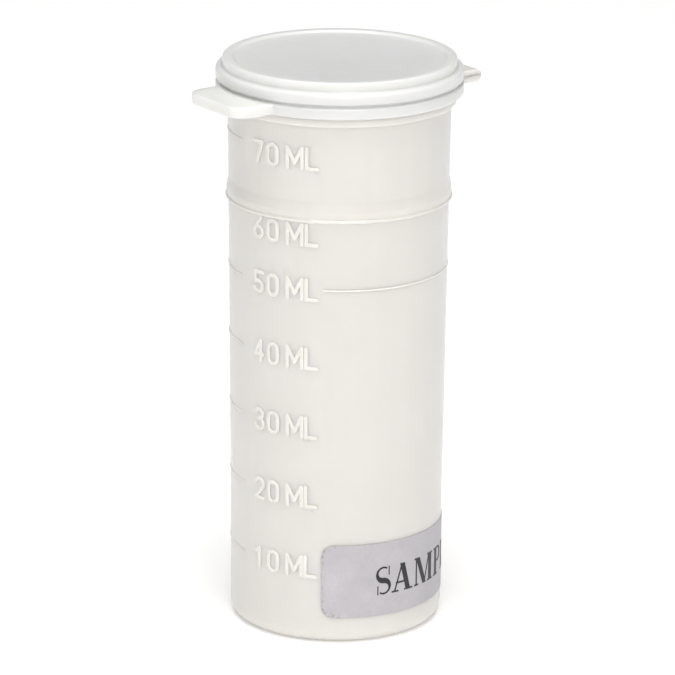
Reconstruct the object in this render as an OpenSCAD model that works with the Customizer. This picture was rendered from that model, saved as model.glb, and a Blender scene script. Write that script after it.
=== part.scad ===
// Flip-top graduated sample vial: a moulded tube with a snap lid on a living hinge, and a stuck label.
// The base stands on z = 0 with its centre at the origin. The thumb tab points to -Y, the hinge to +Y.
// Azimuths are counted from -Y towards +X, so the tab is at 0 and the hinge at 180.

/* [Tube] */
// Height of the sealing rim above the base
rim_top = 91.9; // [91.7:0.05:92]
// Outer radius of the straight lower part
tube_r = 17.4; // [17.3:0.05:17.5]
// Outer radius just under the collar
tube_top_r = 18.03; // [17.95:0.01:18.1]
// Height where the straight part ends and the draft starts
draft_z = 20; // [18.5:0.5:25]
// Wall thickness
wall = 1.1; // [1.05:0.01:1.15]
// Thickness of the floor above the recess
floor_t = 0.8; // [0.7:0.05:1.4]
// Radius of the rounded heel
heel_r = 2; // [1.5:0.1:2.5]
// Depth of the recess inside the foot ring
recess_depth = 0.3; // [0.2:0.05:0.5]
// Outer radius of that recess
recess_r = 13.4; // [10:0.1:14]

/* [Rim and collar] */
// Outer radius of the sealing rim, inside the skirt
rim_r = 18.2; // [18.15:0.05:18.4]
// Lead-in radius at the rim's inner edge
lead_in = 0.5; // [0.4:0.05:0.6]
// Outer radius of the collar ring
collar_r = 18.9; // [18.6:0.05:19.2]
// Underside of the collar ring
collar_bottom = 87.1; // [86.9:0.05:87.3]
// Top of the collar ring, just under the lid
collar_top = 88.55; // [88.45:0.05:88.6]

/* [Support band] */
// Underside of the bead that marks 60 mL
band_bottom = 71.1; // [70.8:0.1:71.3]
// Radius at the crest of the bead
bead_crest_r = 18.38; // [18.3:0.02:18.5]
// Height of the bead
bead_h = 0.75; // [0.6:0.05:0.9]
// Radius of the step above the bead
step_r = 18.22; // [18.15:0.01:18.25]
// Height where the step starts to slope back to the wall
slope_from = 72.9; // [72.5:0.1:73.5]
// Top of the slope
band_top = 74.6; // [74.2:0.1:75]

/* [Graduations] */
// Level whose line runs most of the way round
ring_level = 5; // [1:1:5]
// How far ticks and numerals stand proud
mark_proud = 0.09; // [0.09:0.03:0.12]
// Height of a tick and of the ring line
line_h = 0.36; // [0.2:0.02:0.6]
// Azimuth where the ticks start
tick_from = -36; // [-60:1:-20]
// Azimuth where the ticks end
tick_to = -5; // [-15:1:0]
// Azimuth where the ring line starts
ring_from = 46.5; // [45:0.5:60]
// Azimuth at the middle of the numerals
text_az = 22.5; // [21:0.5:24]
// Height of the numerals
text_h = 3.9; // [3.5:0.1:4]
// Length of a row of numerals round the wall
text_w = 10.9; // [10:0.1:12]
// Stroke width of the numerals
stroke_w = 0.62; // [0.4:0.02:0.8]

/* [Label] */
// Lower edge of the label
label_bottom = 4.5; // [4:0.05:6]
// Height of the label
label_h = 12.45; // [10:0.05:13]
// Length of the label round the tube
label_len = 44.45; // [42:0.05:60]
// Azimuth of the label's left end
label_from = 46.6; // [46.6:0.1:50]
// Corner radius of the label
label_corner = 2; // [1:0.1:3]
// Thickness of the label
label_t = 0.1; // [0.08:0.01:0.12]
// Cap height of the print
print_h = 4.8; // [4:0.1:5]
// Azimuth where the print starts
print_from = 75.9; // [72:0.1:96]
// How far the print sits below the label's middle
print_drop = 0.3; // [0:0.05:1]
// Thickness of the print
print_t = 0.03; // [0.02:0.01:0.05]

/* [Lid] */
// Overall height of the closed vial
total_h = 94.4; // [94.2:0.05:94.6]
// Outer radius of the raised rim ring on top
ring_r = 18.88; // [18.8:0.02:19]
// Inner radius of the raised rim ring
ring_inner_r = 17; // [16.8:0.1:17.5]
// How deep the panel lies below the ring
panel_drop = 0.35; // [0.2:0.05:0.5]
// Thickness of the panel
panel_t = 1.1; // [0.9:0.05:1.3]
// Height of the shoulder at the foot of the ring
shoulder_z = 92.85; // [92.6:0.05:93]
// Radius of the upper bead and the lower flange
flange_r = 20; // [19.8:0.05:20.3]
// Radius at the bottom of the groove between them
groove_r = 19.5; // [19.4:0.05:19.6]
// Underside of the lower flange
flange_bottom = 88.65; // [88.65:0.05:88.8]
// Top of the lower flange
flange_top = 90.45; // [90.2:0.05:90.6]
// Underside of the upper bead
bead_bottom = 90.95; // [90.8:0.05:91.1]
// Edge radius of the flange and the bead
edge_r = 0.3; // [0.1:0.05:0.35]

/* [Seal plug] */
// Outer radius of the plug where it leaves the panel
plug_r = 16.7; // [16.5:0.02:16.75]
// Outer radius of the plug at its lower end
plug_tip_r = 16; // [15.7:0.05:16.05]
// Lower end of the plug
plug_bottom = 88.7; // [88.65:0.05:89.2]
// Thickness of the plug
plug_t = 0.9; // [0.8:0.05:1]
// Gap between the rim and the seat above it
seat_gap = 0.1; // [0.05:0.01:0.2]

/* [Thumb tab] */
// Distance from the axis to the tab's outer edge
tab_reach = 25.1; // [23.5:0.1:26]
// Width of the tab
tab_w = 14.8; // [12:0.1:16]
// Corner radius of the tab
tab_corner = 3; // [1:0.1:3.5]

/* [Hinge] */
// Width of the hinge strap
strap_w = 9; // [6:0.5:10]
// Thickness of the strap
strap_t = 0.95; // [0.8:0.05:0.95]
// Distance from the hinge axis to the middle of each leaf
leaf_offset = 0.55; // [0.55:0.05:0.6]
// Distance from the tube's axis to where the fold starts
fold_from = 24.25; // [23:0.05:25]
// Height of the hinge axis
hinge_z = 88.6; // [88.6:0.05:88.7]

/* [Hidden] */

$fn = 180;
arc_steps = 8;
levels = 7; // marked levels, step_ml apart
cut_depth = 0.8; // how far a cutter for marks reaches to each side of the wall's surface
degrees = 180 / PI;
millilitre = 1000; // cubic millimetres
step_ml = 10;
bore_low_r = tube_r - wall;
bore_r = tube_top_r - wall;
floor_top = recess_depth + floor_t;
inner_heel_r = heel_r - wall / 2;
taper = (tube_top_r - tube_r) / (collar_bottom - draft_z);
seat_z = rim_top + seat_gap;
panel_top = total_h - panel_drop;
panel_bottom = panel_top - panel_t;

// ---- Shared shapes ----

// Outer radius of the tube's wall at a height
function wall_r(z) = z < draft_z ? tube_r : tube_r + taper * (z - draft_z);

// Points on an arc, for the round stretches of a profile
function arc_points(x, y, r, from, to, steps = arc_steps) =
    [for (i = [0 : steps]) let (a = from + (to - from) * i / steps) [x + r * cos(a), y + r * sin(a)]];

// Turns a child drawn beside +X round to an azimuth
module at_azimuth(az) rotate([0, 0, az - 90]) children();

// A stretch of ring with a profile of [radius, height] points
module sector(from, to, points)
    at_azimuth(from) rotate_extrude(angle = to - from) polygon(points);

// A flat shape stood upright at an azimuth, as a prism through the wall's surface
module upright(az, z, r)
    at_azimuth(az) translate([r - cut_depth, 0, z]) rotate([90, 0, 90])
        linear_extrude(height = 2 * cut_depth) children();

// ---- Tube ----

function tube_outer() = concat(
    [[recess_r + recess_depth, 0]],
    arc_points(tube_r - heel_r, heel_r, heel_r, -90, 0),
    [[tube_r, draft_z], [tube_top_r, collar_bottom], [tube_top_r, collar_top], [rim_r, collar_top]],
    arc_points(rim_r - lead_in / 2, rim_top - lead_in / 2, lead_in / 2, 0, 90));

function tube_inner() = concat(
    arc_points(bore_r + lead_in, rim_top - lead_in, lead_in, 90, 180),
    [[bore_r, collar_bottom], [bore_low_r, draft_z]],
    arc_points(bore_low_r - inner_heel_r, floor_top + inner_heel_r, inner_heel_r, 0, -90),
    [[0, floor_top], [0, recess_depth], [recess_r, recess_depth]]);

module vial_tube()
    color([0.92, 0.91, 0.88])
    rotate_extrude() polygon(concat(tube_outer(), tube_inner()));

module collar_ring()
    color([0.9, 0.9, 0.88])
    rotate_extrude() polygon(concat(
        [[tube_top_r, collar_bottom]],
        arc_points(collar_r - edge_r, collar_bottom + edge_r, edge_r, -90, 0),
        [[collar_r, collar_top], [tube_top_r, collar_top]]));

// The bead swells from the wall and back in to the step above it
function bead_points() = [
    for (i = [0 : arc_steps])
        let (t = i / arc_steps, z = band_bottom + bead_h * t, foot = wall_r(z) + (step_r - wall_r(z)) * t)
        [foot + (bead_crest_r - foot) * sin(180 * t), z]];

module support_band()
    color([0.91, 0.9, 0.88])
    rotate_extrude() polygon(concat(
        bead_points(), [[step_r, slope_from], [wall_r(band_top), band_top]]));

// ---- Graduations ----

// Volume between two heights, in mL, of a bore that widens from r0 to r1
function cone_ml(h, r0, r1) = PI * h * (r0 * r0 + r0 * r1 + r1 * r1) / 3 / millilitre;

function held_ml(z) = z < draft_z
    ? cone_ml(z - floor_top, bore_low_r, bore_low_r)
    : cone_ml(draft_z - floor_top, bore_low_r, bore_low_r)
        + cone_ml(z - draft_z, bore_low_r, wall_r(z) - wall);

// Height of the liquid at a volume, found by correcting a guess with the area of the bore
function level_z(ml, z = draft_z, tries = 4) = tries == 0 ? z :
    level_z(ml, z + (ml - held_ml(z)) * millilitre / (PI * pow(wall_r(z) - wall, 2)), tries - 1);

function line_profile(z) = [
    [wall_r(z - line_h / 2), z - line_h / 2],
    [wall_r(z) + mark_proud, z - line_h / 4],
    [wall_r(z) + mark_proud, z + line_h / 4],
    [wall_r(z + line_h / 2), z + line_h / 2]];

// The band's bead takes the place of a tick
function has_tick(z) = z + line_h < band_bottom || z - line_h > band_top;

module graduation_ticks()
    color([0.86, 0.86, 0.84])
    for (i = [1 : levels])
        let (z = level_z(i * step_ml))
        if (i != ring_level && has_tick(z))
            sector(tick_from, tick_to, line_profile(z));

module fill_ring()
    color([0.86, 0.86, 0.84])
    sector(ring_from, 360 + tick_to, line_profile(level_z(ring_level * step_ml)));

// Characters are drawn 1 high, as strokes between points and parts of a circle
pen = stroke_w / text_h;
half = pen / 2;
glyph_w = 0.62;
mid_x = glyph_w / 2;
bowl = mid_x - half; // radius of a round stroke's middle line
diagonal = 35; // angle where the 2 leaves its bowl

module stroke(from, to) {
    run = to - from;
    translate(from) rotate(atan2(run.y, run.x)) translate([0, -half]) square([norm(run), pen]);
    for (end = [from, to]) translate(end) circle(d = pen, $fn = 24);
}

module bow(centre, r, from, to) {
    reach = 2 * (r + pen);
    translate(centre) intersection() {
        difference() {
            circle(r + half, $fn = 64);
            circle(r - half, $fn = 64);
        }
        polygon(concat([[0, 0]], arc_points(0, 0, reach, from, to, 4)));
    }
    for (a = [from, to]) translate(centre + r * [cos(a), sin(a)]) circle(d = pen, $fn = 24);
}

module zero() {
    bow([mid_x, 1 - mid_x], bowl, 0, 180);
    bow([mid_x, mid_x], bowl, 180, 360);
    for (x = [half, glyph_w - half]) stroke([x, mid_x], [x, 1 - mid_x]);
}

module one() {
    stroke([mid_x, half], [mid_x, 1 - half]);
    stroke([mid_x, 1 - half], [mid_x - 0.2, 0.76]);
}

module two() {
    bow([mid_x, 1 - mid_x], bowl, -diagonal, 170);
    stroke([mid_x, 1 - mid_x] + bowl * [cos(diagonal), -sin(diagonal)], [half, half]);
    stroke([half, half], [glyph_w - half, half]);
}

module three() {
    upper = (1 - pen) / 2 - bowl;
    bow([mid_x, 1 - half - upper], upper, -90, 160);
    bow([mid_x, mid_x], bowl, -160, 90);
}

module four() {
    upright_x = glyph_w - 0.2;
    stroke([upright_x, half], [upright_x, 1 - half]);
    stroke([upright_x, 1 - half], [half, 0.34]);
    stroke([half, 0.34], [glyph_w - half, 0.34]);
}

module five() {
    left_x = half + 0.04;
    stroke([glyph_w - half, 1 - half], [left_x, 1 - half]);
    stroke([left_x, 1 - half], [left_x, 0.54]);
    bow([mid_x - 0.01, half + bowl], bowl, -160, 125);
}

module six() {
    difference() {
        translate([mid_x, mid_x]) circle(bowl + half, $fn = 64);
        translate([mid_x, mid_x]) circle(bowl - half, $fn = 64);
    }
    stroke([half + 0.02, mid_x + 0.1], [glyph_w - 0.16, 1 - half]);
}

module seven() {
    stroke([half, 1 - half], [glyph_w - half, 1 - half]);
    stroke([glyph_w - half, 1 - half], [mid_x - 0.06, half]);
}

module letter_m() {
    for (x = [half, 0.8 - half]) stroke([x, half], [x, 1 - half]);
    stroke([half, 1 - half], [0.4, 0.3]);
    stroke([0.4, 0.3], [0.8 - half, 1 - half]);
}

module letter_l() {
    stroke([half, half], [half, 1 - half]);
    stroke([half, half], [0.52, half]);
}

module tens_digit(i) {
    if (i == 1) one();
    if (i == 2) two();
    if (i == 3) three();
    if (i == 4) four();
    if (i == 5) five();
    if (i == 6) six();
    if (i == 7) seven();
}

// The layer that marks fill, from the wall's surface outwards
module mark_layer()
    rotate_extrude() polygon([
        [tube_r, heel_r], [tube_r, draft_z], [tube_top_r, collar_bottom],
        [tube_top_r + mark_proud, collar_bottom], [tube_r + mark_proud, draft_z],
        [tube_r + mark_proud, heel_r]]);

// Left sides of the tens digit, the zero, the M and the L, as shares of a row's length
character_at = [0, 0.27, 0.6, 0.89];

module character(place, z)
    intersection() {
        upright(text_az + (character_at[place] - 0.5) * text_w / tube_r * degrees, z - text_h / 2, wall_r(z))
            scale(text_h) children();
        mark_layer();
    }

// A numeral's middle is on its line. The one at the band hangs below the bead, and the top one sits lower.
function numeral_z(i) =
    i == 6 ? band_bottom - text_h / 2 :
    i == 7 ? level_z(i * step_ml) - 1 : level_z(i * step_ml);

module numeral(i)
    color([0.85, 0.85, 0.83]) {
        z = numeral_z(i);
        character(0, z) tens_digit(i);
        character(1, z) zero();
        character(2, z) letter_m();
        character(3, z) letter_l();
    }

// ---- Label ----

label_angle = label_len / tube_r * degrees;
label_r = tube_r + label_t;

// What is outside a rounded corner of the label. Its arc stops just short of the label's straight edges.
module corner_waste(az, z, turn)
    upright(az, z, tube_r) rotate(turn) polygon(concat(
        [[2 * label_corner, 0]],
        arc_points(0, 0, label_corner, 5, 85),
        [[0, 2 * label_corner], [2 * label_corner, 2 * label_corner]]));

module label_sheet() {
    inset = label_corner / tube_r * degrees;
    low = label_bottom + label_corner;
    high = label_bottom + label_h - label_corner;
    left = label_from + inset;
    right = label_from + label_angle - inset;
    color([0.78, 0.77, 0.79])
    difference() {
        sector(label_from, label_from + label_angle, [
            [tube_r, label_bottom], [label_r, label_bottom],
            [label_r, label_bottom + label_h], [tube_r, label_bottom + label_h]]);
        corner_waste(left, low, 180);
        corner_waste(left, high, 90);
        corner_waste(right, low, 270);
        corner_waste(right, high, 0);
    }
}

// Printed capitals are 1 high, with thick and thin strokes and flat serifs
thick = 0.2;
thin = 0.06;
serif = 0.07; // how far a serif stands out beside its stroke

// An upright stroke of width w with a serif at each end
module stem(x, w) {
    translate([x, 0]) square([w, 1]);
    for (y = [0, 1 - thin]) translate([x - serif, y]) square([w + 2 * serif, thin]);
}

// A slanting stroke from the baseline to the cap line, w wide
module slant(low_x, high_x, w)
    polygon([[low_x, 0], [low_x + w, 0], [high_x + w, 1], [high_x, 1]]);

// A horizontal arm that ends in a serif, which stands up or hangs down
module arm(from_x, to_x, y, serif_low, serif_high) {
    translate([from_x, y]) square([to_x - from_x, thin]);
    polygon([[to_x - 0.14, y], [to_x, y + serif_low], [to_x, y + serif_high], [to_x - 0.14, y + thin]]);
}

// The middle line of the S, from the upper end to the lower, and half the stroke's width along it
s_r = 0.235;
s_turn = 215;
function s_point(t) = t < 0.5
    ? [0.3, 1 - thin / 2 - s_r] + s_r * [cos(270 - s_turn * (1 - 2 * t)), sin(270 - s_turn * (1 - 2 * t))]
    : [0.3, thin / 2 + s_r] + s_r * [cos(90 - s_turn * (2 * t - 1)), sin(90 - s_turn * (2 * t - 1))];
function s_half(t) = thin / 2 + (thick - thin) / 2 * pow(sin(180 * t), 6);
s_steps = 32;

module print_s() {
    sides = [for (side = [-1, 1]) [for (i = [0 : s_steps])
        let (t = i / s_steps, run = s_point(min(t + 0.01, 1)) - s_point(max(t - 0.01, 0)))
        s_point(t) + side * s_half(t) * [-run.y, run.x] / norm(run)]];
    polygon(concat(sides[0], [for (i = [s_steps : -1 : 0]) sides[1][i]]));
    translate([0.49, 0.68]) square([0.04, 0.32]);
    translate([0.07, 0]) square([0.04, 0.32]);
}

module print_a() {
    slant(0.08, 0.4, thin);
    slant(0.6, 0.34, thick);
    translate([0.17, 0.3]) square([0.45, thin]);
    translate([0, 0]) square([0.28, thin]);
    translate([0.52, 0]) square([0.38, thin]);
}

module print_m() {
    stem(0.12, thin);
    stem(0.86, thick);
    slant(0.5, 0.12, thick);
    slant(0.56, 0.86, thin);
}

module print_p() {
    stem(serif, thick);
    translate([serif + thick, 0.46]) {
        square([0.16, thin]);
        translate([0, 0.54 - thin]) square([0.16, thin]);
    }
    translate([serif + thick + 0.14, 0.73]) intersection() {
        difference() {
            circle(0.27, $fn = 64);
            translate([-0.09, 0]) circle(0.215, $fn = 64);
        }
        translate([0, -0.5]) square([1, 1]);
    }
}

module print_l() {
    stem(serif, thick);
    arm(serif + thick, 0.78, 0, 0, 0.3);
}

module print_e() {
    stem(serif, thick);
    arm(serif + thick, 0.8, 0, 0, 0.28);
    arm(serif + thick, 0.78, 1 - thin, -0.22, thin);
    arm(serif + thick, 0.6, 0.5 - thin / 2, -0.12, 0.12 + thin);
}

// Left side of each capital, in cap heights
capital_at = [0, 0.62, 1.58, 2.86, 3.66, 4.52];

module capital(place)
    upright(print_from + capital_at[place] * print_h / label_r * degrees,
        label_bottom + (label_h - print_h) / 2 - print_drop, label_r)
        scale(print_h) children();

module label_print()
    color([0.12, 0.12, 0.12])
    intersection() {
        union() {
            capital(0) print_s();
            capital(1) print_a();
            capital(2) print_m();
            capital(3) print_p();
            capital(4) print_l();
            capital(5) print_e();
        }
        rotate_extrude() translate([label_r, label_bottom]) square([print_t, label_h]);
    }

// ---- Lid ----

module lid_panel()
    color([0.87, 0.87, 0.86])
    translate([0, 0, panel_bottom]) cylinder(r = plug_r, h = panel_t);

module rim_ring()
    color([0.89, 0.9, 0.88])
    rotate_extrude() polygon(concat(
        [[plug_r, seat_z], [ring_r, seat_z]],
        arc_points(ring_r - panel_drop, panel_top, panel_drop, 0, 90),
        arc_points(ring_inner_r + panel_drop, panel_top, panel_drop, 90, 180),
        [[plug_r, panel_top]]));

module lid_skirt()
    color([0.89, 0.9, 0.88])
    rotate_extrude() polygon(concat(
        [[ring_r, flange_bottom]],
        arc_points(flange_r - edge_r, flange_bottom + edge_r, edge_r, -90, 0),
        arc_points(flange_r - edge_r, flange_top - edge_r, edge_r, 0, 90),
        [[groove_r, flange_top], [groove_r, bead_bottom]],
        arc_points(flange_r - edge_r, bead_bottom + edge_r, edge_r, -90, 0),
        arc_points(flange_r - 2 * edge_r, shoulder_z - 2 * edge_r, 2 * edge_r, 0, 90),
        [[ring_r, shoulder_z]]));

module seal_plug()
    color([0.88, 0.88, 0.87])
    rotate_extrude() polygon(concat(
        [[plug_r - plug_t, panel_bottom]],
        arc_points(plug_tip_r - plug_t / 2, plug_bottom + plug_t / 2, plug_t / 2, 180, 360),
        [[plug_r, seat_z], [plug_r, panel_bottom]]));

module thumb_tab()
    color([0.9, 0.9, 0.88])
    translate([0, 0, flange_bottom]) difference() {
        linear_extrude(height = flange_top - flange_bottom) {
            translate([-tab_w / 2, tab_corner - tab_reach]) square([tab_w, tab_reach - tab_corner - tab_w / 2]);
            translate([tab_corner - tab_w / 2, -tab_reach]) square([tab_w - 2 * tab_corner, tab_corner]);
            for (side = [-1, 1])
                translate([side * (tab_w / 2 - tab_corner), tab_corner - tab_reach]) circle(tab_corner);
        }
        translate([0, 0, -1]) cylinder(r = flange_r, h = 4);
    }

// ---- Hinge ----

// A flat half of the strap, from the ring of radius r out to the fold
module strap_leaf(r, middle_z)
    translate([0, 0, middle_z - strap_t / 2]) difference() {
        translate([-strap_w / 2, 0, 0]) cube([strap_w, fold_from, strap_t]);
        translate([0, 0, -1]) cylinder(r = r, h = strap_t + 2);
    }

module hinge_body_leaf()
    color([0.9, 0.9, 0.88]) strap_leaf(collar_r, hinge_z - leaf_offset);

module hinge_lid_leaf()
    color([0.9, 0.9, 0.88]) strap_leaf(flange_r, hinge_z + leaf_offset);

module hinge_fold()
    color([0.9, 0.9, 0.88])
    translate([-strap_w / 2, fold_from, hinge_z]) rotate([90, 0, 90])
        linear_extrude(height = strap_w) intersection() {
            difference() {
                circle(leaf_offset + strap_t / 2, $fn = 64);
                circle(leaf_offset - strap_t / 2, $fn = 64);
            }
            translate([0, -strap_w / 2]) square(strap_w);
        }

vial_tube();
collar_ring();
support_band();
graduation_ticks();
fill_ring();
numeral(1);  // numeral_10
numeral(2);  // numeral_20
numeral(3);  // numeral_30
numeral(4);  // numeral_40
numeral(5);  // numeral_50
numeral(6);  // numeral_60
numeral(7);  // numeral_70
hinge_body_leaf();
hinge_fold();
label_sheet();
label_print();
lid_panel();
rim_ring();
lid_skirt();
seal_plug();
thumb_tab();
hinge_lid_leaf();
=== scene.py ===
import math

import bmesh
import bpy
from bpy.props import FloatProperty, FloatVectorProperty, PointerProperty
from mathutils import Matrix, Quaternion, Vector, noise


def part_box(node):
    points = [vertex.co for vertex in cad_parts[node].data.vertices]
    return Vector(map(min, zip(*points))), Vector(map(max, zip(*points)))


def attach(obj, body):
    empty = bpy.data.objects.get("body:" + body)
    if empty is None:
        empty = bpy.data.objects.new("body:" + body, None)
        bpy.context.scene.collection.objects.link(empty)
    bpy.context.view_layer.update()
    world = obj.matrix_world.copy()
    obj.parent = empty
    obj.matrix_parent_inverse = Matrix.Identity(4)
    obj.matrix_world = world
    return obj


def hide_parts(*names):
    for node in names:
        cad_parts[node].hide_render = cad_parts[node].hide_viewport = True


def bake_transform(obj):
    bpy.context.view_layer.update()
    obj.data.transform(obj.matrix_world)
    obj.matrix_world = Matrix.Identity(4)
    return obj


bl_info = {
    "name": "Flip-top sample vial",
    "version": (1, 0, 0),
    "blender": (4, 5, 0),
    "location": "View3D > Sidebar > Sample vial",
    "description": "Milky vial with a snap lid on a living hinge, raised graduations and a stuck label",
    "category": "Add Mesh",
}

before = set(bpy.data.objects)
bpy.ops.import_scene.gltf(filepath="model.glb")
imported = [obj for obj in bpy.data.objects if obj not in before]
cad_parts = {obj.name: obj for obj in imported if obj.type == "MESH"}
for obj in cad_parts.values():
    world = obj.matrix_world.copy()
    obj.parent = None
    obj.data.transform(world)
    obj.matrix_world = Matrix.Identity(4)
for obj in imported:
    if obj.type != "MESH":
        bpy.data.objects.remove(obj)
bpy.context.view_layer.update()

MM = 0.001
FULL_TURN = 2 * math.pi
WELD = 1e-6
SMOOTH_ANGLE = math.radians(32)
TUBE_STEPS = 240  # faces round the tube
TAB_SPAN = math.radians(54)  # part of the lid's turn that holds the thumb tab
TAB_STEPS = 216  # faces across that part, where the tab is drawn out
LID_STEPS = 204  # faces round the rest of the lid
CORNER_SHARE = 0.99  # the fold's outer corners as a share of its half height, so that they stay apart
LABEL_STRIPS = 64  # strips along the label
LABEL_ROWS = 10  # rows up the label
OUTLINE_GRIME = 0.3  # grime along the label's outline, as a share of that at its left end
GRIMY_END = 3 * MM  # length of the outline at the left end that is fully grimy
CREASE = 1.6 * MM  # size of a crease in the label
STOCK_SHARE = 0.9  # the label's thickness as a share of its lift
FLOOR_SIZE = 6  # metres
KEY_TINT = (1, 0.965, 0.935)

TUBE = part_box("vial_tube")
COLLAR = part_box("collar_ring")
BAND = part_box("support_band")
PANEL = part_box("lid_panel")
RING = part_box("rim_ring")
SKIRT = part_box("lid_skirt")
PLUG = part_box("seal_plug")
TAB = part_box("thumb_tab")
BODY_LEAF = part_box("hinge_body_leaf")
LID_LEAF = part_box("hinge_lid_leaf")
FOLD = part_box("hinge_fold")
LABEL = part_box("label_sheet")


# ---- Sizes and colours ----

def length(name, default, description):
    """A size in metres that the sidebar can change."""
    return FloatProperty(
        name=name,
        description=description,
        default=default,
        min=0,
        precision=5,
        subtype="DISTANCE",
        unit="LENGTH",
    )


def angle(name, default, description):
    """An angle, kept in radians and given here in degrees."""
    return FloatProperty(
        name=name, description=description, default=math.radians(default), subtype="ANGLE", unit="ROTATION"
    )


def colour(name, default, description):
    """A linear colour without alpha."""
    return FloatVectorProperty(
        name=name, description=description, default=default, size=3, min=0, max=1, subtype="COLOR"
    )


def share(name, default, description):
    """A plain number from 0 up."""
    return FloatProperty(name=name, description=description, default=default, min=0)


class TubeSizes(bpy.types.PropertyGroup):
    straight_r: length("Straight radius", 17.4 * MM, "Outer radius below the draft")
    drafted_r: length("Drafted radius", 18.03 * MM, "Outer radius just under the collar")
    draft_z: length("Draft start", 20 * MM, "Height where the wall starts to widen")
    wall: length("Wall", 1.1 * MM, "Thickness of the wall")
    floor_top: length("Floor top", 1.1 * MM, "Height of the floor inside")
    recess: length("Recess", 0.3 * MM, "Depth of the recess inside the foot ring")
    recess_r: length("Recess radius", 13.4 * MM, "Radius of that recess")
    heel_r: length("Heel radius", 2 * MM, "Radius of the rounded heel")
    gate_r: length("Gate radius", 1.5 * MM, "Radius of the gate mark under the floor")
    step_r: length("Step radius", 18.22 * MM, "Radius of the step above the bead")
    bead_h: length("Bead height", 0.75 * MM, "Height of the bead")
    notch: length("Notch", 0.1 * MM, "Depth of the notch between the bead and the step")
    slope_from: length("Slope start", 72.9 * MM, "Height where the step slopes back to the wall")


class LidSizes(bpy.types.PropertyGroup):
    ring_inner_r: length("Ring inner radius", 17 * MM, "Inner radius of the raised rim ring")
    ring_edge: length("Ring edge", 0.35 * MM, "Radius of the rim ring's edges")
    dish: length("Dish", 0.12 * MM, "How far the panel sinks in the middle")
    groove_r: length("Groove radius", 19.5 * MM, "Radius of the groove's bottom")
    flange_top: length("Flange top", 90.45 * MM, "Top of the lower flange")
    bead_bottom: length("Bead bottom", 90.95 * MM, "Underside of the upper bead")
    edge: length("Edge", 0.3 * MM, "Radius of the flange's edges")
    plug_tip_r: length("Plug tip radius", 16 * MM, "Radius of the plug at its lower end")
    plug_wall: length("Plug wall", 0.9 * MM, "Thickness of the plug")
    tab_corner: length("Tab corner", 3 * MM, "Corner radius of the thumb tab")
    tab_root: length("Tab root", 0.8 * MM, "Fillet where the tab leaves the flange")


class HingeSizes(bpy.types.PropertyGroup):
    slit: length("Slit", 0.05 * MM, "Gap between the two leaves when the lid is shut")
    web: length("Web", 0.18 * MM, "Thickness of the strap at its fold")
    root: length("Root", 0.5 * MM, "How far each leaf runs into the collar or the lid")


class LabelSizes(bpy.types.PropertyGroup):
    length: length("Length", 44.45 * MM, "Length round the tube")
    start: angle("Start", 46.6, "Azimuth of the left end, from the tab towards +X")
    corner: length("Corner", 2 * MM, "Corner radius")
    lift: length("Lift", 0.1 * MM, "How far the face stands off the wall")
    worn: length("Worn end", 7 * MM, "Length of the creased stretch at the left end")


class Finish(bpy.types.PropertyGroup):
    plastic: colour("Plastic", (0.865, 0.835, 0.775), "Milky body plastic")
    lid: colour("Lid plastic", (0.83, 0.835, 0.815), "Milky lid plastic, a little cooler")
    marks: colour("Marks", (0.848, 0.82, 0.756), "Raised graduations")
    stock: colour("Label stock", (0.5, 0.485, 0.515), "Satin label stock")
    ink: colour("Ink", (0.012, 0.012, 0.013), "Printed capitals")
    scatter: length("Scatter", 2.5 * MM, "How far light spreads inside the plastic")


class StageSettings(bpy.types.PropertyGroup):
    azimuth: angle("Azimuth", 54, "Camera's azimuth, from the tab towards +X")
    elevation: angle("Elevation", 17.2, "Camera's height over the horizon")
    distance: length("Distance", 754 * MM, "Camera's distance from the point that it looks at")
    target_z: length("Target height", 46.9 * MM, "Height of the point that the camera looks at")
    roll: angle("Roll", 0.5, "Camera's turn about its own axis")
    lens: share("Lens", 245.8, "Focal length in millimetres")
    ambient: share("Ambient", 0.28, "Brightness of the surroundings")
    key: share("Key", 5.3, "Power of the large front panel in watts")
    top: share("Top", 32, "Power of the overhead panel in watts")
    rim: share("Rim", 0.25, "Power of each small side panel in watts")
    floor_glow: share("Floor glow", 0.18, "Light given off by the floor, which keeps it near white")


# ---- Modelling helpers ----

def start_piece(name, operator, **settings):
    """Adds a primitive with nothing else selected, and opens it in edit mode."""
    bpy.ops.object.select_all(action="DESELECT")
    operator(**settings)
    piece = bpy.context.object
    piece.name = name
    piece.data.name = name
    bpy.ops.object.mode_set(mode="EDIT")
    return piece


def finish_piece(piece, smooth=True):
    """Leaves edit mode, brings the object to the origin and shades it."""
    bpy.ops.object.mode_set(mode="OBJECT")
    bpy.ops.object.transform_apply(location=True, rotation=True, scale=True)
    if smooth:
        bpy.ops.object.shade_smooth_by_angle(angle=SMOOTH_ANGLE)
    return piece


def select_where(piece, test):
    """Selects the vertices that pass a test, and what they enclose."""
    mesh = bmesh.from_edit_mesh(piece.data)
    for vertex in mesh.verts:
        vertex.select = test(vertex.co)
    mesh.select_flush(True)
    mesh.select_flush(False)
    bmesh.update_edit_mesh(piece.data)


def draw_outline(name, points, corners, segments=6):
    """Draws a line through points, and rounds the corners that have a radius. It stays in edit mode."""
    piece = start_piece(name, bpy.ops.mesh.primitive_plane_add, size=MM)
    bpy.ops.mesh.merge(type="CENTER")
    bpy.ops.transform.translate(value=points[0])
    for here, there in zip(points, points[1:]):
        bpy.ops.mesh.extrude_vertices_move(TRANSFORM_OT_translate={"value": there - here})
    for i in range(1, len(points) - 1):
        if corners[i] > 0:
            opening = (points[i - 1] - points[i]).angle(points[i + 1] - points[i])
            select_where(piece, lambda co: (co - points[i]).length < WELD)
            bpy.ops.mesh.bevel(
                offset=corners[i] / math.tan(opening / 2), segments=segments, affect="VERTICES", profile=0.5
            )
    return piece


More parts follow.
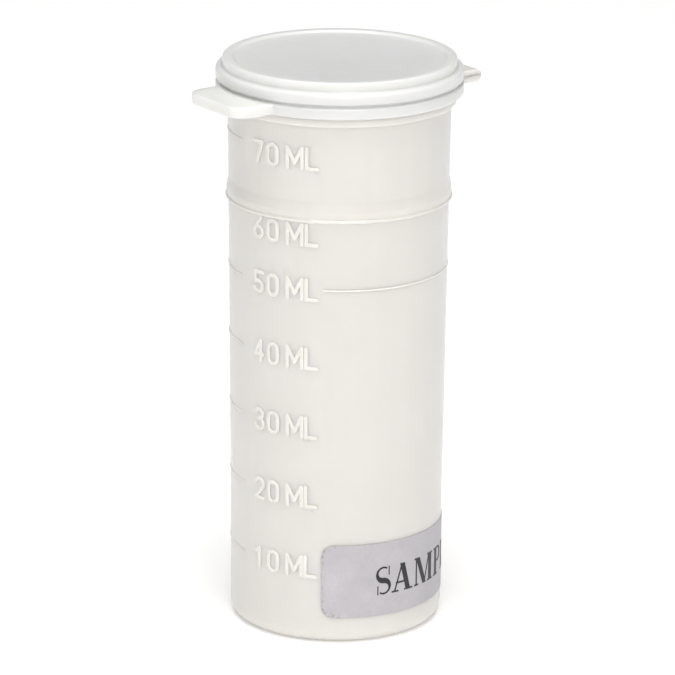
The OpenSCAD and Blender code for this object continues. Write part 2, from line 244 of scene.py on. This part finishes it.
def close_seams():
    """Merges doubled points, and turns every face outwards."""
    bpy.ops.mesh.select_all(action="SELECT")
    bpy.ops.mesh.remove_doubles(threshold=WELD)
    bpy.ops.mesh.normals_make_consistent(inside=False)


def lathe(name, outline, stretches, start=0.0):
    """Spins an outline of (radius, height, corner radius) about Z, in stretches of (angle, steps)."""
    around = Vector((math.cos(start), math.sin(start), 0))
    points = [around * r + Vector((0, 0, z)) for r, z, _ in outline]
    piece = draw_outline(name, points, [corner for _, _, corner in outline])
    bpy.ops.mesh.select_all(action="SELECT")
    for turn, steps in stretches:
        bpy.ops.mesh.spin(steps=steps, angle=turn, center=(0, 0, 0), axis=(0, 0, 1))
    close_seams()
    return piece


# ---- Materials ----

class Nodes:
    """A material's node tree, with short calls to add to it."""

    def __init__(self, name):
        self.material = bpy.data.materials.new(name)
        self.material.use_nodes = True
        self.tree = self.material.node_tree
        self.shader = self.tree.nodes["Principled BSDF"]
        self.place = self.add("ShaderNodeTexCoord").outputs["Object"]

    def add(self, kind, **settings):
        node = self.tree.nodes.new(kind)
        for key, value in settings.items():
            setattr(node, key, value)
        return node

    def link(self, source, target):
        self.tree.links.new(source, target)

    def noise(self, scale, detail=3.0, roughness=0.5, stretch=(1, 1, 1)):
        """Noise on the object's own coordinates, with `scale` patches to the metre."""
        mapping = self.add("ShaderNodeMapping")
        mapping.inputs["Scale"].default_value = stretch
        self.link(self.place, mapping.inputs["Vector"])
        texture = self.add("ShaderNodeTexNoise")
        texture.inputs["Scale"].default_value = scale
        texture.inputs["Detail"].default_value = detail
        texture.inputs["Roughness"].default_value = roughness
        self.link(mapping.outputs["Vector"], texture.inputs["Vector"])
        return texture.outputs["Fac"]

    def spread(self, source, low, high, from_low=0.3, from_high=0.7):
        """Stretches a value to a new range."""
        node = self.add("ShaderNodeMapRange")
        for socket, value in zip(node.inputs[1:5], (from_low, from_high, low, high)):
            socket.default_value = value
        self.link(source, node.inputs[0])
        return node.outputs[0]

    def mix(self, factor, first, second):
        """Mixes two colours by a value."""
        node = self.add("ShaderNodeMix", data_type="RGBA")
        self.link(factor, node.inputs[0])
        for socket, value in ((node.inputs[6], first), (node.inputs[7], second)):
            if isinstance(value, tuple):
                socket.default_value = (*value, 1)
            else:
                self.link(value, socket)
        return node.outputs[2]

    def bump(self, height, strength, distance, under=None):
        """Adds relief to the shader's normal, over relief that is there already."""
        node = self.add("ShaderNodeBump")
        node.inputs["Strength"].default_value = strength
        node.inputs["Distance"].default_value = distance
        self.link(height, node.inputs["Height"])
        if under:
            self.link(under, node.inputs["Normal"])
        return node.outputs["Normal"]


def shade(tint, factor):
    """A colour made lighter or darker."""
    return tuple(min(1.0, channel * factor) for channel in tint)


def milky_plastic(name, tint, scatter):
    """Milky polypropylene: soft cloudiness, faint draw lines up the wall, and satin gloss."""
    nodes = Nodes(name)
    cloud = nodes.noise(70, detail=4)
    streak = nodes.noise(420, detail=2, stretch=(1, 1, 0.03))
    tinted = nodes.mix(nodes.spread(cloud, 0, 1), shade(tint, 0.965), shade(tint, 1.015))
    streaked = nodes.mix(nodes.spread(streak, 0, 0.5), tinted, shade(tint, 0.96))
    nodes.link(streaked, nodes.shader.inputs["Base Color"])
    nodes.link(nodes.spread(nodes.noise(900, detail=5), 0.3, 0.42), nodes.shader.inputs["Roughness"])
    peel = nodes.bump(nodes.noise(260, detail=2), 0.25, 0.03 * MM)
    scuffs = nodes.bump(nodes.noise(2600, detail=4, stretch=(1, 1, 0.2)), 0.2, 0.01 * MM, peel)
    nodes.link(scuffs, nodes.shader.inputs["Normal"])
    nodes.shader.inputs["IOR"].default_value = 1.49
    nodes.shader.inputs["Coat Weight"].default_value = 0.4
    nodes.shader.inputs["Coat Roughness"].default_value = 0.1
    nodes.shader.inputs["Transmission Weight"].default_value = 0.15
    nodes.shader.inputs["Subsurface Weight"].default_value = 0.85
    nodes.shader.inputs["Subsurface Radius"].default_value = (1, 0.95, 0.85)
    nodes.shader.inputs["Subsurface Scale"].default_value = scatter
    return nodes.material


def mark_plastic(name, tint):
    """The same plastic where it stands proud as a mark, polished by handling."""
    nodes = Nodes(name)
    cloud = nodes.spread(nodes.noise(300), 0, 1)
    nodes.link(nodes.mix(cloud, shade(tint, 0.95), shade(tint, 1.03)), nodes.shader.inputs["Base Color"])
    nodes.link(nodes.spread(nodes.noise(1500), 0.35, 0.5), nodes.shader.inputs["Roughness"])
    nodes.link(nodes.bump(nodes.noise(2200), 0.2, 0.01 * MM), nodes.shader.inputs["Normal"])
    nodes.shader.inputs["IOR"].default_value = 1.49
    nodes.shader.inputs["Subsurface Weight"].default_value = 0.85
    nodes.shader.inputs["Subsurface Radius"].default_value = (1, 0.95, 0.85)
    nodes.shader.inputs["Subsurface Scale"].default_value = 0.2 * MM
    return nodes.material


def label_stock(name, tint):
    """Satin label stock with a fine woven grain, blotches and grime along its edges."""
    nodes = Nodes(name)
    blotch = nodes.spread(nodes.noise(260, detail=5, roughness=0.65), 0, 1)
    grain = nodes.spread(nodes.noise(5200, detail=2), 0, 1)
    base = nodes.mix(blotch, shade(tint, 0.9), shade(tint, 1.08))
    grained = nodes.mix(nodes.spread(grain, 0, 0.35, 0, 1), base, shade(tint, 0.8))
    edge = nodes.add("ShaderNodeAttribute", attribute_name="edge").outputs["Fac"]
    speck = nodes.spread(nodes.noise(1500, detail=3, roughness=0.7), 0, 1, 0.5, 0.62)
    grime = nodes.add("ShaderNodeMath", operation="MULTIPLY")
    nodes.link(nodes.spread(edge, 0, 0.85, 0.2, 1), grime.inputs[0])
    nodes.link(speck, grime.inputs[1])
    nodes.link(nodes.mix(grime.outputs[0], grained, shade(tint, 0.3)), nodes.shader.inputs["Base Color"])
    nodes.link(nodes.spread(blotch, 0.38, 0.55, 0, 1), nodes.shader.inputs["Roughness"])
    nodes.shader.inputs["Metallic"].default_value = 0.15
    nodes.link(nodes.bump(grain, 0.3, 0.02 * MM), nodes.shader.inputs["Normal"])
    return nodes.material


def printed_ink(name, tint):
    """Black ribbon print, thin and speckled where the ribbon missed."""
    nodes = Nodes(name)
    missed = nodes.spread(nodes.noise(3800, detail=4, roughness=0.7), 0, 1, 0.6, 0.72)
    nodes.link(nodes.mix(missed, tint, (0.12, 0.12, 0.125)), nodes.shader.inputs["Base Color"])
    nodes.link(nodes.spread(missed, 0.45, 0.7, 0, 1), nodes.shader.inputs["Roughness"])
    nodes.link(nodes.bump(missed, 0.3, 0.01 * MM), nodes.shader.inputs["Normal"])
    return nodes.material


def give(piece, material):
    """Makes a material the only one on a piece or a CAD node."""
    piece.data.materials.clear()
    piece.data.materials.append(material)


# ---- Tube ----

def wall_r(z):
    """Outer radius of the tube's wall at a height."""
    sizes = bpy.context.scene.vial_tube
    rise = max(0, z - sizes.draft_z) / (COLLAR[0].z - sizes.draft_z)
    return sizes.straight_r + (sizes.drafted_r - sizes.straight_r) * rise


def tube_outline():
    """From the middle of the floor up the bore, over the rim, down the outside and back under the floor."""
    sizes = bpy.context.scene.vial_tube
    bore_low = sizes.straight_r - sizes.wall
    bore_top = sizes.drafted_r - sizes.wall
    crest_r, crest_z = BAND[1].x, BAND[0].z + sizes.bead_h / 2
    bead_top = BAND[0].z + sizes.bead_h
    return [
        (0, sizes.floor_top, 0),
        (bore_low, sizes.floor_top, sizes.heel_r - sizes.wall / 2),
        (bore_low, sizes.draft_z, 0),
        (bore_top, COLLAR[0].z, 0),
        (bore_top, TUBE[1].z, 0.5 * MM),
        (TUBE[1].x, TUBE[1].z, 0.22 * MM),
        (TUBE[1].x, COLLAR[1].z, 0.1 * MM),
        (COLLAR[1].x, COLLAR[1].z, 0.2 * MM),
        (COLLAR[1].x, COLLAR[0].z, 0.28 * MM),
        (wall_r(COLLAR[0].z), COLLAR[0].z, 0.3 * MM),
        (wall_r(BAND[1].z), BAND[1].z, 0.8 * MM),
        (sizes.step_r, sizes.slope_from, 0.8 * MM),
        (sizes.step_r, bead_top + sizes.notch, 0.08 * MM),
        (sizes.step_r - sizes.notch, bead_top, 0.05 * MM),
        (crest_r, crest_z + 0.12 * MM, 0.15 * MM),
        (crest_r, crest_z - 0.12 * MM, 0.15 * MM),
        (wall_r(BAND[0].z), BAND[0].z, 0.06 * MM),
        (sizes.straight_r, sizes.draft_z, 0),
        (sizes.straight_r, 0, sizes.heel_r),
        (sizes.recess_r + sizes.recess, 0, 0.2 * MM),
        (sizes.recess_r, sizes.recess, 0.2 * MM),
        (sizes.gate_r, sizes.recess, 0.1 * MM),
        (sizes.gate_r, sizes.recess / 2, 0.1 * MM),
        (0, sizes.recess / 2, 0),
    ]


class VIAL_OT_tube(bpy.types.Operator):
    """Turn the tube with its foot ring, support band, collar and rim"""

    bl_idname = "vial.tube"
    bl_label = "Tube"

    def execute(self, context):
        tube = finish_piece(lathe("tube_shell", tube_outline(), [(FULL_TURN, TUBE_STEPS)]))
        finish = context.scene.vial_finish
        give(tube, milky_plastic("milky_tube", tuple(finish.plastic), finish.scatter))
        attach(tube, "vial")
        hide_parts("vial_tube", "collar_ring", "support_band")
        return {"FINISHED"}


class VIAL_OT_marks(bpy.types.Operator):
    """Finish the raised ticks, the ring line and the numerals"""

    bl_idname = "vial.marks"
    bl_label = "Graduations"

    def execute(self, context):
        plastic = mark_plastic("raised_marks", tuple(context.scene.vial_finish.marks))
        for name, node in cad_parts.items():
            if name in ("graduation_ticks", "fill_ring") or name.startswith("numeral_"):
                give(node, plastic)
        return {"FINISHED"}


# ---- Lid ----

def lid_outline():
    """From the middle of the panel over the ring, down the skirt and back inside along the plug."""
    sizes = bpy.context.scene.vial_lid
    edge = sizes.edge
    flange_r, flange_low = SKIRT[1].x, SKIRT[0].z
    inner_tip_r = sizes.plug_tip_r - sizes.plug_wall
    return [
        (0, PANEL[1].z - sizes.dish, 0),
        (sizes.ring_inner_r, PANEL[1].z, sizes.ring_edge),
        (sizes.ring_inner_r + sizes.ring_edge, RING[1].z, sizes.ring_edge),
        (RING[1].x, RING[1].z, sizes.ring_edge),
        (RING[1].x, SKIRT[1].z, 0.3 * MM),
        (flange_r, SKIRT[1].z, 2 * edge),
        (flange_r, sizes.bead_bottom, edge),
        (sizes.groove_r, sizes.bead_bottom, 0.2 * MM),
        (sizes.groove_r, sizes.flange_top, 0.2 * MM),
        (flange_r, sizes.flange_top, edge),
        (flange_r, flange_low, edge),
        (RING[1].x, flange_low, 0.15 * MM),
        (RING[1].x, RING[0].z, 0.2 * MM),
        (PLUG[1].x, RING[0].z, 0.2 * MM),
        (sizes.plug_tip_r, PLUG[0].z, sizes.plug_wall * 0.45),
        (inner_tip_r, PLUG[0].z, sizes.plug_wall * 0.45),
        (PLUG[1].x - sizes.plug_wall, PANEL[0].z, 0.5 * MM),
        (0, PANEL[0].z, 0),
    ]


def crossing(direction, centre, radius):
    """How far along a direction from the axis a circle is left, or None where it is missed."""
    along = direction.dot(centre)
    inside = radius * radius - centre.length_squared + along * along
    return along + math.sqrt(inside) if inside > 0 else None


def flange_reach(direction, inset):
    """Distance from the axis to the edge of the flange and its thumb tab, drawn in by an inset."""
    sizes = bpy.context.scene.vial_lid
    flange_r = SKIRT[1].x - inset
    half_w = TAB[1].x - inset
    front = TAB[0].y + inset
    corner = sizes.tab_corner - inset
    if direction.y > -0.5:
        return flange_r
    side = abs(direction.x)
    ray = Vector((side, direction.y))
    to_front = front / ray.y
    to_side = half_w / side if side > WELD else math.inf
    reach = min(to_front, to_side)
    centre = Vector((half_w - corner, front + corner))
    if side * reach > centre.x and ray.y * reach < centre.y:
        reach = crossing(ray, centre, corner) or reach
    root = sizes.tab_root + inset
    root_centre = Vector((half_w + root, -math.sqrt((flange_r + root) ** 2 - (half_w + root) ** 2)))
    along = ray.dot(root_centre)
    gap = root * root - root_centre.length_squared + along * along
    on_root = along - math.sqrt(gap) if gap > 0 else None
    blend_limit = root_centre.x * flange_r / (flange_r + root)
    if on_root and side * on_root < blend_limit and on_root > flange_r and side * on_root >= half_w - WELD:
        return on_root
    return max(flange_r, reach) if side * flange_r < half_w else flange_r


def draw_out_tab(lid):
    """Draws the flange's loops out to the tab's outline. Each keeps its inset, so the edge stays rounded."""
    sizes = bpy.context.scene.vial_lid
    low, high = SKIRT[0].z - WELD, sizes.flange_top + WELD
    mesh = bmesh.from_edit_mesh(lid.data)
    for vertex in mesh.verts:
        radius = vertex.co.xy.length
        inset = SKIRT[1].x - radius
        if low < vertex.co.z < high and inset < sizes.edge + WELD:
            direction = vertex.co.xy.normalized()
            vertex.co.xy = direction * flange_reach(direction, max(0.0, inset))
    bmesh.update_edit_mesh(lid.data)


class VIAL_OT_lid(bpy.types.Operator):
    """Turn the lid with its rim ring, skirt and plug, and draw out the thumb tab"""

    bl_idname = "vial.lid"
    bl_label = "Lid"

    def execute(self, context):
        start = -math.pi / 2 - TAB_SPAN / 2
        stretches = [(TAB_SPAN, TAB_STEPS), (FULL_TURN - TAB_SPAN, LID_STEPS)]
        lid = lathe("lid_shell", lid_outline(), stretches, start)
        draw_out_tab(lid)
        finish_piece(lid)
        finish = context.scene.vial_finish
        give(lid, milky_plastic("milky_lid", tuple(finish.lid), finish.scatter))
        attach(lid, "lid")
        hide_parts("lid_panel", "rim_ring", "lid_skirt", "seal_plug", "thumb_tab")
        return {"FINISHED"}


class VIAL_OT_hinge(bpy.types.Operator):
    """Fold the living hinge between the collar and the lid"""

    bl_idname = "vial.hinge"
    bl_label = "Hinge strap"

    def execute(self, context):
        sizes = context.scene.vial_hinge
        low, high = BODY_LEAF[0].z, LID_LEAF[1].z
        middle = (low + high) / 2
        slit_low, slit_high = middle - sizes.slit / 2, middle + sizes.slit / 2
        root_low, root_high = COLLAR[1].x - sizes.root, SKIRT[1].x - sizes.root
        corner = (high - low) / 2 * CORNER_SHARE
        tip = FOLD[1].y
        left = FOLD[0].x
        side = [
            (root_low, low, 0),
            (tip, low, corner),
            (tip, high, corner),
            (root_high, high, 0),
            (root_high, slit_high, 0),
            (tip - sizes.web, slit_high, 0),
            (tip - sizes.web, slit_low, 0),
            (root_low, slit_low, 0),
        ]
        points = [Vector((left, y, z)) for y, z, _ in side]
        strap = draw_outline("hinge_strap", points, [corner for _, _, corner in side], segments=12)
        bpy.ops.mesh.select_all(action="SELECT")
        bpy.ops.mesh.edge_face_add()
        bpy.ops.mesh.extrude_region_move(TRANSFORM_OT_translate={"value": (-2 * left, 0, 0)})
        close_seams()
        finish_piece(strap)
        finish = context.scene.vial_finish
        give(strap, milky_plastic("milky_hinge", tuple(finish.plastic), finish.scatter))
        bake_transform(strap)
        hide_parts("hinge_body_leaf", "hinge_fold", "hinge_lid_leaf")
        return {"FINISHED"}


# ---- Label ----

class VIAL_OT_label(bpy.types.Operator):
    """Cut the label, wrap it round the tube, and finish its print"""

    bl_idname = "vial.label"
    bl_label = "Label"

    def execute(self, context):
        sizes = context.scene.vial_label
        height = LABEL[1].z - LABEL[0].z
        label = start_piece("label_face", bpy.ops.mesh.primitive_plane_add, size=1)
        bpy.ops.transform.resize(value=(sizes.length, height, 1))
        bpy.ops.mesh.bevel(offset=sizes.corner, segments=8, affect="VERTICES", profile=0.5)
        self.slice(sizes.length, LABEL_STRIPS, Vector((1, 0, 0)))
        self.slice(height, LABEL_ROWS, Vector((0, 1, 0)))
        self.mark_edges(label)
        self.wrap(label, sizes, height)
        close_seams()
        bpy.ops.mesh.solidify(thickness=sizes.lift * STOCK_SHARE)
        finish_piece(label)
        finish = context.scene.vial_finish
        give(label, label_stock("label_stock", tuple(finish.stock)))
        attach(label, "vial")
        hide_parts("label_sheet")
        give(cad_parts["label_print"], printed_ink("label_ink", tuple(finish.ink)))
        return {"FINISHED"}

    def slice(self, span, pieces, along):
        """Cuts the flat label into equal strips, so that it can bend."""
        for i in range(1, pieces):
            bpy.ops.mesh.select_all(action="SELECT")
            bpy.ops.mesh.bisect(plane_co=along * (i / pieces - 0.5) * span, plane_no=along)

    def mark_edges(self, label):
        """Stores how much grime gathers at each point: most at the left end's outline, none inside."""
        mesh = bmesh.from_edit_mesh(label.data)
        layer = mesh.verts.layers.float.new("edge")
        start = min(vertex.co.x for vertex in mesh.verts) + GRIMY_END
        for vertex in mesh.verts:
            vertex[layer] = OUTLINE_GRIME if vertex.is_boundary else 0.0
            if vertex.is_boundary and vertex.co.x < start:
                vertex[layer] = 1.0
        bmesh.update_edit_mesh(label.data)

    def wrap(self, label, sizes, height):
        """Wraps the flat label round the tube. Its left end has lifted a little, in small creases."""
        radius = bpy.context.scene.vial_tube.straight_r
        mesh = bmesh.from_edit_mesh(label.data)
        for vertex in mesh.verts:
            run = vertex.co.x + sizes.length / 2
            worn = max(0.0, 1 - run / sizes.worn)
            crease = worn * sizes.lift * (0.5 + noise.noise(vertex.co / CREASE))
            around = sizes.start + run / radius - math.pi / 2
            out = radius + sizes.lift + max(0.0, crease)
            z = LABEL[0].z + vertex.co.y + height / 2
            vertex.co = Vector((out * math.cos(around), out * math.sin(around), z))
        bmesh.update_edit_mesh(label.data)


# ---- Stage ----

def towards(azimuth, elevation, distance, target=Vector((0, 0, 0))):
    """A point at a distance from a target, at an azimuth from -Y towards +X and an elevation."""
    flat = distance * math.cos(elevation)
    rise = distance * math.sin(elevation)
    return target + Vector((flat * math.sin(azimuth), -flat * math.cos(azimuth), rise))


def panel(name, stage, side, height, distance, size, power, tint=(1, 1, 1)):
    """A square studio panel that faces the vial. Side and height are in degrees, from camera and horizon."""
    place = towards(stage.azimuth + math.radians(side), math.radians(height), distance)
    bpy.ops.object.light_add(type="AREA", location=place)
    light = bpy.context.object
    light.name = name
    aim = Vector((0, 0, stage.target_z)) - place
    light.rotation_euler = aim.to_track_quat("-Z", "Y").to_euler()
    light.data.shape = "SQUARE"
    light.data.size = size
    light.data.energy = power
    light.data.color = tint


class VIAL_OT_stage(bpy.types.Operator):
    """Place the camera, the lights, the surroundings and the pale floor"""

    bl_idname = "vial.stage"
    bl_label = "Stage"

    def execute(self, context):
        stage = context.scene.vial_stage
        target = Vector((0, 0, stage.target_z))
        bpy.ops.object.select_all(action="DESELECT")
        place = towards(stage.azimuth, stage.elevation, stage.distance, target)
        bpy.ops.object.camera_add(location=place)
        camera = bpy.context.object
        turn = (target - place).to_track_quat("-Z", "Y") @ Quaternion((0, 0, 1), stage.roll)
        camera.rotation_euler = turn.to_euler()
        camera.data.lens = stage.lens
        camera.data.sensor_width = 36
        camera.data.clip_start = 0.01
        context.scene.camera = camera
        context.scene.view_settings.view_transform = "Standard"

        panel("key_panel", stage, side=3, height=30, distance=1.1, size=0.6, power=stage.key, tint=KEY_TINT)
        panel("top_panel", stage, side=0, height=82, distance=2, size=1.4, power=stage.top)
        for side in (-62, 62):
            panel("rim_panel", stage, side=side, height=38, distance=1, size=0.05, power=stage.rim)
        self.surroundings(context, stage)
        self.floor(stage)
        return {"FINISHED"}

    def surroundings(self, context, stage):
        world = bpy.data.worlds.new("studio")
        context.scene.world = world
        world.use_nodes = True
        world.node_tree.nodes["Background"].inputs["Color"].default_value = (1, 1, 1, 1)
        world.node_tree.nodes["Background"].inputs["Strength"].default_value = stage.ambient

    def floor(self, stage):
        floor = start_piece("floor", bpy.ops.mesh.primitive_plane_add, size=FLOOR_SIZE)
        finish_piece(floor, smooth=False)
        nodes = Nodes("pale_floor")
        shader = nodes.shader
        shader.inputs["Base Color"].default_value = (0.85, 0.85, 0.85, 1)
        shader.inputs["Roughness"].default_value = 0.9
        shader.inputs["Specular IOR Level"].default_value = 0.1
        shader.inputs["Emission Color"].default_value = (1, 1, 1, 1)
        shader.inputs["Emission Strength"].default_value = stage.floor_glow
        give(floor, nodes.material)


class VIAL_PT_sidebar(bpy.types.Panel):
    """Sizes, colours and steps of the sample vial"""

    bl_idname = "VIAL_PT_sidebar"
    bl_label = "Sample vial"
    bl_space_type = "VIEW_3D"
    bl_region_type = "UI"
    bl_category = "Sample vial"

    def draw(self, context):
        for group in SETTINGS:
            box = self.layout.box()
            settings = getattr(context.scene, group)
            for name in settings.__annotations__:
                box.prop(settings, name)
        for operator in STEPS:
            self.layout.operator(operator.bl_idname)


SETTINGS = {
    "vial_tube": TubeSizes,
    "vial_lid": LidSizes,
    "vial_hinge": HingeSizes,
    "vial_label": LabelSizes,
    "vial_finish": Finish,
    "vial_stage": StageSettings,
}
STEPS = (VIAL_OT_stage, VIAL_OT_tube, VIAL_OT_marks, VIAL_OT_lid, VIAL_OT_hinge, VIAL_OT_label)


def register():
    for group in SETTINGS.values():
        bpy.utils.register_class(group)
    for name, group in SETTINGS.items():
        setattr(bpy.types.Scene, name, PointerProperty(type=group))
    for step in STEPS:
        bpy.utils.register_class(step)
    bpy.utils.register_class(VIAL_PT_sidebar)


def unregister():
    bpy.utils.unregister_class(VIAL_PT_sidebar)
    for step in reversed(STEPS):
        bpy.utils.unregister_class(step)
    for name, group in SETTINGS.items():
        delattr(bpy.types.Scene, name)
        bpy.utils.unregister_class(group)


def main():
    register()
    bpy.ops.vial.stage()
    bpy.ops.vial.tube()
    bpy.ops.vial.marks()
    bpy.ops.vial.lid()
    bpy.ops.vial.hinge()
    bpy.ops.vial.label()


if __name__ == "__main__":
    main()
